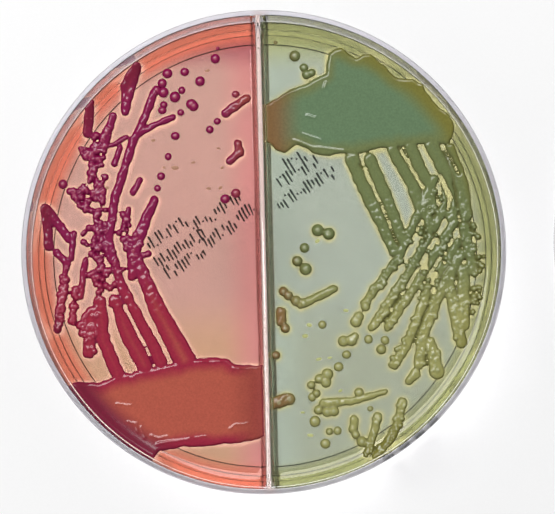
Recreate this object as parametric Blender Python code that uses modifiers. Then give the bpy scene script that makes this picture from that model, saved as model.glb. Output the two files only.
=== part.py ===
"""Two-compartment petri dish with streaked agar, and its loose lid.

The dish is one clear moulding: floor, side wall and a dividing wall. An agar bed is
poured into each half, and growth stands on each bed. The lid lies upturned beside the
dish and turns over onto it about one line halfway between the two.

The origin is the centre of the dish's underside, +Z is up, and the dividing wall runs
along Y. All sizes are in metres.
"""

import math

import bmesh
import bpy
from mathutils import Matrix, Vector

MM = 0.001

# Clearances
TOUCH_GAP = 0.3 * MM
LID_SIDE_GAP = 0.7 * MM
STACK_SIDE_GAP = 0.3 * MM
STACK_DEPTH_GAP = 0.2 * MM
BENCH_GAP = 9.4 * MM

# Dish moulding
RIM_RADIUS = 44.0 * MM
DISH_HEIGHT = 14.0 * MM
DISH_WALL = 1.0 * MM
WALL_DRAFT = 0.4 * MM
FLOOR_THICKNESS = 1.3 * MM
CORNER_CHAMFER = 0.6 * MM
RIM_ROUND = 0.3 * MM
GROOVE_INSET = 4.8 * MM
GROOVE_WIDTH = 2.0 * MM
GROOVE_DEPTH = 0.6 * MM

# Dividing wall of the dish
DIVIDER_DROP = 0.4 * MM
DIVIDER_CREST = 0.9 * MM
DIVIDER_FOOT = 1.8 * MM
DIVIDER_ROUND = 0.3 * MM

# Lid moulding
LID_WALL = 0.9 * MM
LID_PLATE = 1.0 * MM
LID_SKIRT = 6.7 * MM
VENT_NUBS = 3
VENT_NUB_HEIGHT = 0.5 * MM
VENT_NUB_LENGTH = 2.4 * MM
VENT_NUB_WIDTH = 1.4 * MM

# Agar beds
AGAR_THICKNESS = 4.1 * MM
MENISCUS_WIDTH = 3.0 * MM
MENISCUS_RISE = 1.0 * MM

# Growth on the beds
LAWN_HEIGHT = 0.7 * MM
STREAK_HEIGHT = 0.6 * MM
MOUND_SINK = 0.05 * MM
STREAK_THINNING = 0.02 * MM

# Facets
TURN_STEPS = 72
COLONY_SIDES = 10
COLONY_RINGS = 6
TUBE_RESOLUTION = 2

# Heights and radii that follow from the sizes above
FLOOR_TOP = FLOOR_THICKNESS
DIVIDER_HEIGHT = DISH_HEIGHT - DIVIDER_DROP
GROOVE_RADIUS = RIM_RADIUS - GROOVE_INSET
AGAR_FOOT = FLOOR_TOP + TOUCH_GAP
AGAR_TOP = AGAR_FOOT + AGAR_THICKNESS
GROWTH_FOOT = AGAR_TOP + TOUCH_GAP
LID_INNER_RADIUS = RIM_RADIUS + LID_SIDE_GAP
LID_RADIUS = LID_INNER_RADIUS + LID_WALL
STACK_RING_HEIGHT = GROOVE_DEPTH - STACK_DEPTH_GAP
STACK_RING_RADIUS = GROOVE_RADIUS + STACK_SIDE_GAP
STACK_RING_WIDTH = GROOVE_WIDTH - 2 * STACK_SIDE_GAP
CLOSED_PLATE_FOOT = DISH_HEIGHT + TOUCH_GAP + VENT_NUB_HEIGHT
CLOSED_HEIGHT = CLOSED_PLATE_FOOT + LID_PLATE + STACK_RING_HEIGHT
LID_CENTRE_X = RIM_RADIUS + BENCH_GAP + LID_RADIUS
HINGE = Vector((LID_CENTRE_X / 2, 0, CLOSED_HEIGHT / 2))

# Growth on the bed: x across, y along the divider, r half width. The unit is one
# forty-fourth of the rim's radius, a millimetre here, so the growth follows the dish.
BED_UNIT = RIM_RADIUS / 44
RED_LAWN = (
    (-40, -22.9), (-31, -22.9), (-28.1, -21.6), (-25.5, -21.1), (-12.5, -18.9), (-8, -18.9),
    (-6, -20.3), (-1.9, -20.3), (-1.9, -33.8), (-5, -34.9), (-15, -35.1), (-21, -36.5),
    (-31, -29.5),
)
RED_FIRST_STREAKS = (
    ((-14.9, -19.5, 2.2), (-19.6, -10, 1.9), (-23.3, -0.8, 1.0)),
    ((-19.8, -20.0, 1.2), (-24.0, -10, 1.2), (-26.5, -4.5, 1.0)),
    ((-23.0, -20.8, 1.5), (-25.6, -14, 1.5), (-28.0, -7.5, 1.2)),
    ((-27.6, -22.5, 1.2), (-30.2, -15, 1.3), (-30.8, -7.0, 1.1)),
)
RED_SECOND_STREAKS = (
    ((-24.4, -4.0, 0.9), (-23.9, 1.0, 0.9), (-20.2, 10.2, 0.8)),
    ((-27.5, -7.0, 0.9), (-28.8, 4.0, 0.9), (-26.4, 13.0, 0.9), (-23.2, 22.4, 0.9), (-19.6, 30.3, 0.8)),
    ((-23.4, 22.0, 0.7), (-19.8, 24.3, 0.7), (-16.6, 25.5, 0.7)),
    ((-30.8, -8.0, 0.9), (-30.2, 12.0, 1.1), (-29.5, 20.0, 0.8), (-27.2, 26.2, 0.7)),
    ((-32.9, -16.4, 1.2), (-32.2, -9.0, 1.2), (-28.0, 0.0, 1.2)),
    ((-28.5, -1.5, 0.9), (-33.0, 8.5, 0.9), (-33.0, 20.5, 1.3)),
    ((-34.3, -8.5, 0.8), (-33.3, -1.0, 0.8), (-30.2, 5.0, 0.9)),
)
RED_STREAKS = (
    ((-24.0, 30.8, 1.3), (-25.0, 27.2, 0.8)),
    ((-6.3, 26.4, 0.9), (-2.9, 28.6, 0.8)),
    ((-4.4, 20.4, 0.8), (-4.3, 18.7, 1.0), (-5.8, 17.4, 0.8)),
    ((-22.6, 14.2, 0.6), (-23.7, 12.0, 0.7)),
    ((-24.6, 8.6, 0.5), (-25.6, 5.9, 0.5)),
    ((-36.3, -0.8, 0.8), (-37.2, -9.5, 0.8)),
    ((-37.0, 2.5, 0.9), (-35.6, 5.6, 0.9)),
)
RED_COLONIES = (
    (-8.2, 36.3, 1.0), (-17.1, 33.8, 1.0), (-13.9, 34.0, 0.9), (-11.1, 32.2, 1.0),
    (-15.8, 29.4, 1.1), (-12.8, 28.0, 1.1), (-14.8, 26.5, 0.7), (-17.9, 28.0, 0.8),
    (-8.1, 24.7, 0.7), (-9.5, 23.2, 0.8), (-15.9, 22.2, 0.9), (-17.3, 18.4, 0.75),
    (-18.7, 14.8, 0.85), (-19.4, 12.6, 0.7),
)
GREEN_LAWN = (
    (2.0, 27.2), (4.4, 29.8), (10.0, 31.6), (12.4, 36.6), (16.0, 37.0), (21.0, 36.0), (25.0, 31.8),
    (29.0, 31.4), (33.0, 27.0), (37.0, 23.5), (37.0, 19.6), (15.0, 17.9), (9.6, 18.3), (4.7, 18.6),
    (2.0, 20.6),
)
GREEN_FIRST_STREAKS = (
    ((16.4, 19.5, 1.3), (19.6, 9.6, 1.3), (23.9, 0.0, 1.1)),
    ((19.5, 19.0, 1.2), (22.6, 10.0, 1.2), (25.4, 1.5, 0.9)),
    ((24.0, 19.5, 1.2), (27.4, 12.0, 1.1), (29.2, 6.0, 1.0)),
    ((27.3, 19.5, 1.1), (30.2, 12.0, 1.1), (32.0, 5.0, 1.0)),
    ((31.6, 20.5, 1.2), (35.2, 12.0, 1.6), (36.2, 4.0, 1.3)),
)
GREEN_SECOND_STREAKS = (
    ((31.4, 13.0, 0.9), (26.5, 3.0, 0.9), (24.5, -1.5, 0.9), (18.4, -9.6, 0.8)),
    ((34.0, 8.0, 0.9), (27.5, -4.0, 0.9), (19.9, -13.8, 0.9)),
    ((35.6, 6.0, 0.9), (30.2, -4.5, 0.9), (22.4, -13.9, 0.8)),
    ((36.4, 3.0, 0.9), (31.0, -7.0, 0.9), (25.4, -15.5, 0.9), (23.2, -20.6, 0.9)),
    ((37.0, -1.0, 1.0), (31.8, -9.5, 1.1), (28.6, -16.0, 1.0), (27.4, -22.0, 1.0)),
    ((36.6, 5.0, 1.3), (34.6, -6.0, 1.3), (35.3, -15.5, 1.2)),
    ((31.8, -9.5, 1.0), (30.0, -18.0, 1.0), (30.7, -22.3, 1.3)),
)
GREEN_STREAKS = (
    ((9.9, 4.1, 1.1), (11.8, 3.5, 1.1)),
    ((6.0, -1.5, 1.0), (7.5, -3.0, 1.1)),
    ((3.4, -7.2, 0.9), (5.6, -8.8, 1.0), (8.0, -9.0, 0.8), (12.6, -6.9, 0.9)),
    ((2.9, -10.8, 1.0), (3.3, -13.6, 1.0)),
    ((16.6, -13.0, 1.0), (17.0, -12.0, 1.0)),
    ((14.1, -16.5, 1.0), (15.7, -16.2, 1.0)),
    ((8.1, -24.3, 0.8), (11.0, -22.6, 1.1)),
    ((21.4, -25.9, 0.6), (16.0, -27.3, 0.8), (10.4, -28.0, 0.9)),
    ((24.6, -27.9, 0.9), (23.4, -31.5, 0.8)),
    ((20.2, -30.2, 0.8), (18.8, -33.8, 0.8)),
    ((15.7, -30.8, 0.9), (15.6, -32.8, 0.8)),
)
GREEN_COLONIES = (
    (6.5, 36.4, 1.1), (8.1, 34.2, 0.9), (7.4, 0.9, 1.0), (10.3, -13.3, 0.9), (18.7, -16.2, 0.9),
    (21.8, -16.6, 0.8), (14.6, -18.9, 0.9), (13.1, -21.1, 1.0), (8.1, -26.5, 0.9), (3.9, -26.8, 1.2),
    (8.5, -31.0, 1.1), (12.6, -32.8, 0.9), (10.3, -35.1, 1.0), (18.7, -28.9, 0.6),
)

CLEAR_PLASTIC = ("clear_polystyrene", (0.86, 0.89, 0.90, 0.35), 0.06)
RED_AGAR = ("red_agar", (0.74, 0.42, 0.34, 1.0), 0.2)
GREEN_AGAR = ("green_agar", (0.46, 0.55, 0.40, 1.0), 0.2)
RED_GROWTH = ("red_growth", (0.40, 0.06, 0.10, 1.0), 0.25)
GREEN_GROWTH = ("green_growth", (0.26, 0.28, 0.10, 1.0), 0.25)


def clear_scene():
    for obj in list(bpy.data.objects):
        bpy.data.objects.remove(obj, do_unlink=True)


def new_collection(name):
    collection = bpy.data.collections.new(name)
    bpy.context.scene.collection.children.link(collection)
    return collection


def new_material(name, colour, roughness):
    material = bpy.data.materials.new(name)
    material.use_nodes = True
    shader = material.node_tree.nodes["Principled BSDF"]
    shader.inputs["Base Color"].default_value = colour
    shader.inputs["Alpha"].default_value = colour[3]
    shader.inputs["Roughness"].default_value = roughness
    shader.inputs["Metallic"].default_value = 0.0
    material.diffuse_color = colour
    return material


def new_object(name, mesh, collection, material=None):
    obj = bpy.data.objects.new(name, mesh)
    collection.objects.link(obj)
    if material:
        mesh.materials.append(material)
    return obj


def mesh_of(obj):
    """The object's mesh with its modifiers and its own placement applied."""
    bpy.context.view_layer.update()
    evaluated = obj.evaluated_get(bpy.context.evaluated_depsgraph_get())
    mesh = bpy.data.meshes.new_from_object(evaluated)
    mesh.transform(obj.matrix_world)
    return mesh


def tidy_mesh(mesh):
    bm = bmesh.new()
    bm.from_mesh(mesh)
    bmesh.ops.remove_doubles(bm, verts=bm.verts, dist=1e-6)
    bmesh.ops.recalc_face_normals(bm, faces=bm.faces)
    bm.to_mesh(mesh)
    bm.free()


def shade_round(mesh):
    mesh.shade_smooth()
    mesh.set_sharp_from_angle(angle=math.radians(35))


def turned(name, profile, collection, material=None):
    """A solid of revolution about Z. The profile runs down the outer side, top to bottom."""
    mesh = bpy.data.meshes.new(name)
    verts = [(radius, 0, height) for radius, height in profile]
    edges = [(i, i + 1) for i in range(len(profile) - 1)]
    mesh.from_pydata(verts, edges, [])
    obj = new_object(name, mesh, collection, material)
    screw = obj.modifiers.new("turn", "SCREW")
    screw.axis = "Z"
    screw.steps = TURN_STEPS
    screw.render_steps = TURN_STEPS
    screw.use_merge_vertices = True
    screw.merge_threshold = 0.00001
    screw.use_smooth_shade = False
    return obj


def replace_with_mesh(obj, weld=True):
    """Bakes an object's modifiers and placement into a plain mesh of the same name."""
    mesh = mesh_of(obj)
    old = obj.data
    name = obj.name
    collection = obj.users_collection[0]
    bpy.data.objects.remove(obj, do_unlink=True)
    if isinstance(old, bpy.types.Mesh):
        bpy.data.meshes.remove(old)
    else:
        bpy.data.curves.remove(old)
    if weld:
        tidy_mesh(mesh)
    mesh.name = name
    baked = bpy.data.objects.new(name, mesh)
    collection.objects.link(baked)
    return baked


def combine(target, other, operation):
    boolean = target.modifiers.new(operation.lower(), "BOOLEAN")
    boolean.solver = "EXACT"
    boolean.operation = operation
    boolean.object = other


def as_cutter(obj):
    obj.hide_render = True
    obj.display_type = "WIRE"
    return obj


def union_of(pieces):
    """Joins meshes into the first one and removes the others."""
    body = pieces[0]
    for other in pieces[1:]:
        combine(body, other, "UNION")
    bpy.context.view_layer.update()
    body = replace_with_mesh(body, weld=False)
    for other in pieces[1:]:
        bpy.data.objects.remove(other, do_unlink=True)
    return body


def inner_radius(height):
    """Inside of the dish's wall, which opens a little towards the rim."""
    rise = (height - FLOOR_TOP) / (DISH_HEIGHT - FLOOR_TOP)
    return RIM_RADIUS - DISH_WALL - WALL_DRAFT * (1 - rise)


def divider_half(height):
    """Half the dividing wall's thickness, thinner towards its crest."""
    rise = (height - FLOOR_TOP) / (DIVIDER_HEIGHT - FLOOR_TOP)
    return (DIVIDER_FOOT + (DIVIDER_CREST - DIVIDER_FOOT) * rise) / 2


def block(name, collection, low, high, half_low=None, half_high=None):
    """A box, or a prism along Y whose half thickness differs at its foot and its top."""
    bm = bmesh.new()
    bmesh.ops.create_cube(bm, size=1.0)
    for vert in bm.verts:
        for axis in range(3):
            vert.co[axis] = low[axis] if vert.co[axis] < 0 else high[axis]
        if half_low is not None:
            half = half_low if vert.co.z == low[2] else half_high
            vert.co.x = math.copysign(half, vert.co.x)
    mesh = bpy.data.meshes.new(name)
    bm.to_mesh(mesh)
    bm.free()
    return new_object(name, mesh, collection)


def make_divider(collection):
    """The dividing wall, its ends sunk in the side wall and its foot in the floor."""
    foot = FLOOR_TOP - FLOOR_THICKNESS / 2
    reach = inner_radius(FLOOR_TOP) + DISH_WALL / 2
    divider = block(
        "divider", collection, (-1, -reach, foot), (1, reach, DIVIDER_HEIGHT),
        divider_half(foot), divider_half(DIVIDER_HEIGHT),
    )
    bm = bmesh.new()
    bm.from_mesh(divider.data)
    crest = [
        edge for edge in bm.edges
        if all(vert.co.z > DIVIDER_HEIGHT - TOUCH_GAP for vert in edge.verts)
        and abs(edge.verts[0].co.y - edge.verts[1].co.y) > reach
    ]
    bmesh.ops.bevel(bm, geom=crest, offset=DIVIDER_ROUND, segments=2, profile=0.5, affect="EDGES")
    bm.to_mesh(divider.data)
    bm.free()
    return divider


def make_dish(parts, cutters, material):
    inner_floor = inner_radius(FLOOR_TOP)
    foot_radius = inner_floor + DISH_WALL
    profile = [
        (0, FLOOR_TOP),
        (inner_floor - CORNER_CHAMFER, FLOOR_TOP),
        (inner_radius(FLOOR_TOP + CORNER_CHAMFER), FLOOR_TOP + CORNER_CHAMFER),
        (RIM_RADIUS - DISH_WALL, DISH_HEIGHT - RIM_ROUND),
        (RIM_RADIUS - DISH_WALL + RIM_ROUND, DISH_HEIGHT),
        (RIM_RADIUS - RIM_ROUND, DISH_HEIGHT),
        (RIM_RADIUS, DISH_HEIGHT - RIM_ROUND),
        (foot_radius, CORNER_CHAMFER),
        (foot_radius - CORNER_CHAMFER, 0),
        (GROOVE_RADIUS + GROOVE_WIDTH, 0),
        (GROOVE_RADIUS + GROOVE_WIDTH, GROOVE_DEPTH),
        (GROOVE_RADIUS, GROOVE_DEPTH),
        (GROOVE_RADIUS, 0),
        (0, 0),
    ]
    dish = turned("dish_base", profile, parts)
    dish = union_of([replace_with_mesh(dish), make_divider(cutters)])
    dish.data.materials.append(material)
    shade_round(dish.data)
    return dish


def make_lid(parts, cutters, material):
    """The lid upturned on its stacking ring, and the empty that it turns about."""
    plate_top = STACK_RING_HEIGHT + LID_PLATE
    skirt_top = plate_top + LID_SKIRT
    profile = [
        (0, plate_top),
        (LID_INNER_RADIUS, plate_top),
        (LID_INNER_RADIUS, skirt_top - RIM_ROUND),
        (LID_INNER_RADIUS + RIM_ROUND, skirt_top),
        (LID_RADIUS - RIM_ROUND, skirt_top),
        (LID_RADIUS, skirt_top - RIM_ROUND),
        (LID_RADIUS, STACK_RING_HEIGHT + CORNER_CHAMFER),
        (LID_RADIUS - CORNER_CHAMFER, STACK_RING_HEIGHT),
        (STACK_RING_RADIUS + STACK_RING_WIDTH, STACK_RING_HEIGHT),
        (STACK_RING_RADIUS + STACK_RING_WIDTH, 0),
        (STACK_RING_RADIUS, 0),
        (STACK_RING_RADIUS, STACK_RING_HEIGHT),
        (0, STACK_RING_HEIGHT),
    ]
    lid = replace_with_mesh(turned("lid", profile, parts))
    nub_radius = RIM_RADIUS - DISH_WALL / 2
    pieces = [lid]
    for index in range(VENT_NUBS):
        angle = math.radians(30) + index * math.tau / VENT_NUBS
        nub = block(
            "nub", cutters,
            (-VENT_NUB_WIDTH / 2, -VENT_NUB_LENGTH / 2, plate_top - LID_PLATE / 2),
            (VENT_NUB_WIDTH / 2, VENT_NUB_LENGTH / 2, plate_top + VENT_NUB_HEIGHT),
        )
        nub.location = (nub_radius * math.cos(angle), nub_radius * math.sin(angle), 0)
        nub.rotation_euler.z = angle
        pieces.append(replace_with_mesh(nub))
    lid = union_of(pieces)
    lid.data.materials.append(material)
    shade_round(lid.data)
    hinge = bpy.data.objects.new("lid_hinge", None)
    hinge.location = HINGE
    parts.objects.link(hinge)
    lid.parent = hinge
    lid.location = Vector((LID_CENTRE_X, 0, 0)) - HINGE
    return lid


def make_agar(name, side, parts, cutters, material):
    """Half a poured disc, its surface drawn up the side wall. side is -1 or 1 along X."""
    rim = inner_radius(AGAR_TOP + MENISCUS_RISE) - TOUCH_GAP
    foot = inner_radius(AGAR_FOOT + CORNER_CHAMFER) - TOUCH_GAP
    profile = [(0, AGAR_TOP), (rim - MENISCUS_WIDTH, AGAR_TOP)]
    for inward, lift in ((0.5, 0.2), (0.2, 0.55)):
        profile.append((rim - inward * MENISCUS_WIDTH, AGAR_TOP + lift * MENISCUS_RISE))
    profile += [
        (rim, AGAR_TOP + MENISCUS_RISE),
        (foot, AGAR_FOOT + CORNER_CHAMFER),
        (foot - CORNER_CHAMFER, AGAR_FOOT),
        (0, AGAR_FOOT),
    ]
    agar = replace_with_mesh(turned(name, profile, parts))
    low = AGAR_FOOT - TOUCH_GAP / 2
    high = AGAR_TOP + MENISCUS_RISE + TOUCH_GAP / 2
    cutter = block(name + "_cutter", cutters, (-1, -RIM_RADIUS, low), (1, RIM_RADIUS, high))
    for vert in cutter.data.vertices:
        if vert.co.x * side > 0:
            vert.co.x = side * (divider_half(vert.co.z) + TOUCH_GAP)
        else:
            vert.co.x = -side * 2 * RIM_RADIUS
    as_cutter(cutter)
    combine(agar, cutter, "DIFFERENCE")
    agar.data.materials.append(material)
    shade_round(agar.data)
    return agar


def bed_point(x, y, margin=0.0):
    """A growth point in metres, held inside the level part of the bed."""
    spot = Vector((x, y)) * BED_UNIT
    level_radius = inner_radius(AGAR_TOP + MENISCUS_RISE) - 2 * TOUCH_GAP - MENISCUS_WIDTH
    reach = level_radius - margin * BED_UNIT
    return spot * min(1.0, reach / spot.length)


def make_outline(name, points, foot, top, collection):
    """A flat plate inside an outline on the bed."""
    curve = bpy.data.curves.new(name, "CURVE")
    curve.dimensions = "2D"
    curve.fill_mode = "BOTH"
    curve.extrude = (top - foot) / 2
    spline = curve.splines.new("POLY")
    spline.points.add(len(points) - 1)
    for point, (x, y) in zip(spline.points, points):
        point.co = (*bed_point(x, y), 0, 1)
    spline.use_cyclic_u = True
    obj = bpy.data.objects.new(name, curve)
    obj.location.z = (foot + top) / 2
    collection.objects.link(obj)
    return replace_with_mesh(obj)


def make_tube(name, points, collection, sink=MOUND_SINK):
    """A flattened round streak through points (x, y, r), tapered at both ends."""
    first, last = points[0], points[-1]
    lead = Vector(first[:2]) - Vector(points[1][:2])
    trail = Vector(last[:2]) - Vector(points[-2][:2])
    start = Vector(first[:2]) + lead.normalized() * first[2] * 0.7
    end = Vector(last[:2]) + trail.normalized() * last[2] * 0.7
    route = [(start.x, start.y, first[2] * 0.5), *points, (end.x, end.y, last[2] * 0.5)]
    curve = bpy.data.curves.new(name, "CURVE")
    curve.dimensions = "3D"
    curve.bevel_depth = BED_UNIT
    curve.bevel_resolution = TUBE_RESOLUTION
    curve.use_fill_caps = True
    spline = curve.splines.new("POLY")
    spline.points.add(len(route) - 1)
    for point, (x, y, half_width) in zip(spline.points, route):
        point.co = (*bed_point(x, y, half_width), 0, 1)
        point.radius = half_width
    widest = max(half_width for x, y, half_width in points) * BED_UNIT
    obj = bpy.data.objects.new(name, curve)
    obj.location.z = GROWTH_FOOT - sink
    obj.scale.z = STREAK_HEIGHT / widest
    collection.objects.link(obj)
    return replace_with_mesh(obj)


def cut_at_foot(mesh):
    """Keeps what stands above the bed and closes its underside."""
    bm = bmesh.new()
    bm.from_mesh(mesh)
    everything = bm.verts[:] + bm.edges[:] + bm.faces[:]
    bmesh.ops.bisect_plane(
        bm, geom=everything, plane_co=(0, 0, GROWTH_FOOT), plane_no=(0, 0, 1), clear_inner=True
    )
    rim = [edge for edge in bm.edges if edge.is_boundary]
    bmesh.ops.triangle_fill(bm, edges=rim, use_beauty=True)
    bmesh.ops.recalc_face_normals(bm, faces=bm.faces)
    bm.to_mesh(mesh)
    bm.free()


def make_streak(name, points, parts, material):
    streak = make_tube(name, points, parts)
    cut_at_foot(streak.data)
    streak.data.materials.append(material)
    streak.data.shade_smooth()
    streak.data.set_sharp_from_angle(angle=math.radians(50))
    return streak


def make_colony(name, colony, parts, material):
    """One round colony, a flattened dome."""
    x, y, half_width = colony
    bm = bmesh.new()
    bmesh.ops.create_uvsphere(
        bm, u_segments=COLONY_SIDES, v_segments=COLONY_RINGS, radius=half_width * BED_UNIT
    )
    squash = STREAK_HEIGHT / (half_width * BED_UNIT)
    for vert in bm.verts:
        vert.co.z = vert.co.z * squash + GROWTH_FOOT - MOUND_SINK
    mesh = bpy.data.meshes.new(name)
    bm.to_mesh(mesh)
    bm.free()
    mesh.transform(Matrix.Translation((*bed_point(x, y, half_width), 0)))
    cut_at_foot(mesh)
    mesh.shade_smooth()
    mesh.set_sharp_from_angle(angle=math.radians(50))
    return new_object(name, mesh, parts, material)


def make_growth(name, lawn, streaks, parts, cutters, material):
    """The lawn with every streak drawn out of it."""
    below = GROWTH_FOOT - TOUCH_GAP
    body = make_outline(name, lawn, below, GROWTH_FOOT + LAWN_HEIGHT, parts)
    tubes = []
    for index, points in enumerate(streaks):
        sink = MOUND_SINK + index * STREAK_THINNING
        tubes.append(make_tube(name + "_streak", points, cutters, sink))
    body = union_of([body, *tubes])
    cut_at_foot(body.data)
    body.data.materials.append(material)
    body.data.shade_smooth()
    body.data.set_sharp_from_angle(angle=math.radians(50))
    return body


def make_half(colour, side, agar, growth, lawn, joined, streaks, colonies, parts, cutters):
    """One compartment's bed and everything that grows on it."""
    make_agar(colour + "_agar", side, parts, cutters, new_material(*agar))
    skin = new_material(*growth)
    make_growth(colour + "_growth", lawn, joined, parts, cutters, skin)
    for index, points in enumerate(streaks, start=1):
        make_streak(f"{colour}_streak_{index}", points, parts, skin)
    for index, colony in enumerate(colonies, start=1):
        make_colony(f"{colour}_colony_{index}", colony, parts, skin)


def build():
    clear_scene()
    parts = new_collection("petri_dish")
    cutters = new_collection("petri_dish_cutters")
    plastic = new_material(*CLEAR_PLASTIC)
    make_dish(parts, cutters, plastic)
    make_lid(parts, cutters, plastic)
    make_half(
        "red", -1, RED_AGAR, RED_GROWTH, RED_LAWN, RED_FIRST_STREAKS + RED_SECOND_STREAKS,
        RED_STREAKS, RED_COLONIES, parts, cutters,
    )
    make_half(
        "green", 1, GREEN_AGAR, GREEN_GROWTH, GREEN_LAWN, GREEN_FIRST_STREAKS + GREEN_SECOND_STREAKS,
        GREEN_STREAKS, GREEN_COLONIES, parts, cutters,
    )


build()
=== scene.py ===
# A two-compartment petri dish of streaked agar, with its loose lid upturned beside it.
# The pieces come in the order in which the plate is made: moulded dish, printed codes,
# poured beds, growth, and then the lid, the bench, the light and the camera.

import math
import random

import bmesh
import bpy
import numpy as np
from mathutils import Matrix, Vector, noise


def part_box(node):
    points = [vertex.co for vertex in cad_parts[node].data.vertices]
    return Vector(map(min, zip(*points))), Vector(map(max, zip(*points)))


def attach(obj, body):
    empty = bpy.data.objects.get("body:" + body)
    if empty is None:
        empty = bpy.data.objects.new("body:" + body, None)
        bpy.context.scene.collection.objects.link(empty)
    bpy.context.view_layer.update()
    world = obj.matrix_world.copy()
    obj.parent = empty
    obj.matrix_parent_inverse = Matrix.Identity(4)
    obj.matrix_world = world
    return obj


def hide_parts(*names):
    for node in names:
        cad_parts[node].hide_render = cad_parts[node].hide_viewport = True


MM = 0.001

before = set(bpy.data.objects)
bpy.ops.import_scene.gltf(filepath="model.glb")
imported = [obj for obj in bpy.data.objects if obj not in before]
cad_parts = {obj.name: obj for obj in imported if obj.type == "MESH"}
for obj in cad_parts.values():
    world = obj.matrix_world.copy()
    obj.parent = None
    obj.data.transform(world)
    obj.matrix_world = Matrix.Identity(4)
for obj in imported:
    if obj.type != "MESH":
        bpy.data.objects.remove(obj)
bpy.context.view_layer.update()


# ---------------------------------------------------------------------------------------
# Clear dish: floor, side wall and dividing wall in one injection moulding of polystyrene.
# The wall opens a little towards the rim so that the moulding leaves its tool, and a
# groove under the floor takes the stacking ring of the lid below it.

DISH_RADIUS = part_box("dish_base")[1].x
DISH_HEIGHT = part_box("dish_base")[1].z
WALL = 1.0 * MM
WALL_DRAFT = 0.4 * MM
FLOOR = 1.3 * MM
CORNER = 0.6 * MM
GROOVE_IN, GROOVE_OUT, GROOVE_DEEP = 39.2 * MM, 41.2 * MM, 0.6 * MM
DIVIDER_TOP = DISH_HEIGHT - 0.4 * MM
DIVIDER_CREST, DIVIDER_FOOT = 0.9 * MM, 1.8 * MM
EDGE_ROUND = 0.22 * MM
TURN_STEPS = 180

# The rim colour is painted shade that greys the wall, and the crest colour is a pinkish grey painted
# shade on the dividing wall.
STYRENE_TINT, STYRENE_RIM_SHADE, STYRENE_CREST_SHADE = "FCFCFD", "A8A4AE", "CCBAB4"
STYRENE_IOR, AGAR_IOR, GROWTH_IOR = 1.59, 1.34, 1.38
RIM_FROST = 0.3


def linear(hex_colour):
    """An sRGB hex colour as the linear values that shaders take."""
    parts = [int(hex_colour[i:i + 2], 16) / 255 for i in (0, 2, 4)]
    curve = [p / 12.92 if p <= 0.04045 else ((p + 0.055) / 1.055) ** 2.4 for p in parts]
    return (*curve, 1.0)


def add_node(tree, kind, settings=None, links=None):
    """A node with its properties and socket values set, and its inputs linked."""
    made = tree.nodes.new(kind)
    for name, value in (settings or {}).items():
        if isinstance(name, str) and name in made.bl_rna.properties:
            setattr(made, name, value)
        else:
            made.inputs[name].default_value = value
    for name, source in (links or {}).items():
        tree.links.new(source, made.inputs[name])
    return made


def new_material(name):
    """An empty node tree with its output; the section that asks for it adds the rest."""
    material = bpy.data.materials.new(name)
    material.use_nodes = True
    material.node_tree.nodes.clear()
    return material, material.node_tree


def inner_radius(height):
    """Inside of the dish's wall at a height above the bench."""
    rise = (height - FLOOR) / (DISH_HEIGHT - FLOOR)
    return DISH_RADIUS - WALL - WALL_DRAFT * (1 - rise)


def divider_half(height):
    """Half the dividing wall's thickness at a height above the bench."""
    rise = (height - FLOOR) / (DIVIDER_TOP - FLOOR)
    return (DIVIDER_FOOT + (DIVIDER_CREST - DIVIDER_FOOT) * rise) / 2


def turned(corners, rounding):
    """A closed solid of revolution. Corners run from the axis down the outside and back to
    it, and the ones marked True are rounded."""
    bm = bmesh.new()
    verts = [bm.verts.new((radius, 0, height)) for radius, height, _ in corners]
    for first, second in zip(verts, verts[1:]):
        bm.edges.new((first, second))
    marked = [vert for vert, corner in zip(verts, corners) if corner[2]]
    bmesh.ops.bevel(
        bm, geom=marked, offset=rounding, segments=3, profile=0.5, affect="VERTICES", material=-1
    )
    bmesh.ops.spin(
        bm, geom=bm.verts[:] + bm.edges[:], cent=(0, 0, 0), axis=(0, 0, 1),
        angle=math.tau, steps=TURN_STEPS, use_merge=True,
    )
    bmesh.ops.remove_doubles(bm, verts=bm.verts, dist=0.001 * MM)
    bmesh.ops.recalc_face_normals(bm, faces=bm.faces)
    return bm


def as_object(bm, name, material=None, crease=35):
    """Turns a bmesh into a smooth-shaded object that keeps its hard creases."""
    mesh = bpy.data.meshes.new(name)
    bm.to_mesh(mesh)
    bm.free()
    mesh.shade_smooth()
    mesh.set_sharp_from_angle(angle=math.radians(crease))
    if material:
        mesh.materials.append(material)
    obj = bpy.data.objects.new(name, mesh)
    bpy.context.scene.collection.objects.link(obj)
    return obj


def fused(base, others):
    """Moulds the other objects into the base one and takes them away."""
    for other in others:
        joint = base.modifiers.new("fuse", "BOOLEAN")
        joint.operation = "UNION"
        joint.solver = "EXACT"
        joint.object = other
    bpy.context.view_layer.update()
    mesh = bpy.data.meshes.new_from_object(
        base.evaluated_get(bpy.context.evaluated_depsgraph_get())
    )
    base.modifiers.clear()
    for other in others:
        bpy.data.objects.remove(other, do_unlink=True)
    mesh.name = base.name
    base.data = mesh
    flat = base.modifiers.new("flat faces stay flat", "WEIGHTED_NORMAL")
    flat.keep_sharp = True
    return base


def places_on(tree, centre=0.0):
    """Where a point of a piece is: its spot, its Y, its height, its radius round a centre on
    the X axis and how far it lies beside that centre."""
    spot = add_node(tree, "ShaderNodeTexCoord").outputs["Object"]
    axes = add_node(tree, "ShaderNodeSeparateXYZ", None, {0: spot})
    across = add_node(
        tree, "ShaderNodeMath", {"operation": "SUBTRACT", 1: centre}, {0: axes.outputs[0]}
    )
    flat = add_node(tree, "ShaderNodeCombineXYZ", None, {0: across.outputs[0], 1: axes.outputs[1]})
    radius = add_node(tree, "ShaderNodeVectorMath", {"operation": "LENGTH"}, {0: flat.outputs[0]})
    beside = add_node(tree, "ShaderNodeMath", {"operation": "ABSOLUTE"}, {0: across.outputs[0]})
    return spot, axes.outputs[1], axes.outputs[2], radius.outputs["Value"], beside.outputs[0]


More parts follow.
